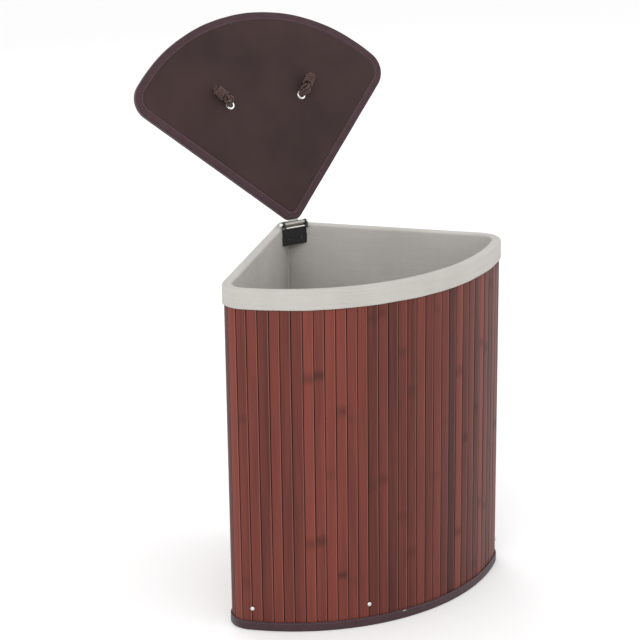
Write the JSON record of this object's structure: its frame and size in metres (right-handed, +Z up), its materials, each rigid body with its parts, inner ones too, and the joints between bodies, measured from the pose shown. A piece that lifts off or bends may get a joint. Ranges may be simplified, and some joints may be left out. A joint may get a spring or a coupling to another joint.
{
  "type": "laundry hamper with lid",
  "caption": "Quarter-round corner laundry hamper of upright bamboo slats with a fold-over cloth liner and a lid hinged at the back corner, shown open.",
  "frame": {"origin": "on the floor under the bottom binding at the hamper's back corner", "axes": "+Z up, -Y towards the curved front, +X across the width, to the right as seen from the front"},
  "size_m": [0.4912, 0.4971, 0.8792],
  "materials": {
    "slat": "red-brown stained bamboo, satin",
    "board": "plain fibreboard",
    "backing": "woven cotton backing cloth",
    "binding": "dark purple-brown cotton tape",
    "lining": "matte dark brown cloth",
    "linen": "off-white cotton and linen cloth",
    "rope": "soft brown cord of many strands",
    "steel": "bright plated steel",
    "black_steel": "black lacquered steel"
  },
  "bodies": {
    "body": {"front_slat_panel": "slat", "back_left_slat_panel": "slat", "back_right_slat_panel": "slat", "curtain_backing": "backing", "base_board": "board", "rim_hoop": "board", "bottom_binding": "binding", "rim_tape": "binding", "liner_wall": "linen", "liner_floor": "linen", "liner_cuff": "linen", "hinge_bracket": "black_steel", "hinge_pin": "steel", "lid_stop_bar": "steel", "hinge_rivet_left": "steel", "hinge_rivet_right": "steel", "binding_staple": "steel", "base_rivet_front_left": "steel", "base_rivet_front_middle": "steel", "base_rivet_front_right": "steel", "base_rivet_back_left_1": "steel", "base_rivet_back_left_2": "steel", "base_rivet_back_right_1": "steel", "base_rivet_back_right_2": "steel"},
    "lid": {"lid_board": "board", "lid_slats": "slat", "lid_lining": "lining", "lid_binding": "binding", "hinge_leaf": "steel", "leaf_rivet_left": "steel", "leaf_rivet_right": "steel", "eyelet_left": "steel", "eyelet_right": "steel", "eyelet_washer_left": "steel", "eyelet_washer_right": "steel", "handle_knot_left": "rope", "handle_knot_right": "rope"},
    "handle": {"handle_rope": "rope"}
  },
  "joints": [
    {"name": "lid_hinge", "type": "hinge", "parent": "body", "child": "lid", "pos_m": [0, -0.03079, 0.56], "axis": [1, 0, 0], "range_deg": [0, 115.5]},
    {"name": "handle_swing", "type": "hinge", "parent": "lid", "child": "handle", "pos_m": [0, 0.06649, 0.74072], "axis": [1, 0, 0], "range_deg": [-20, 150]}
  ]
}
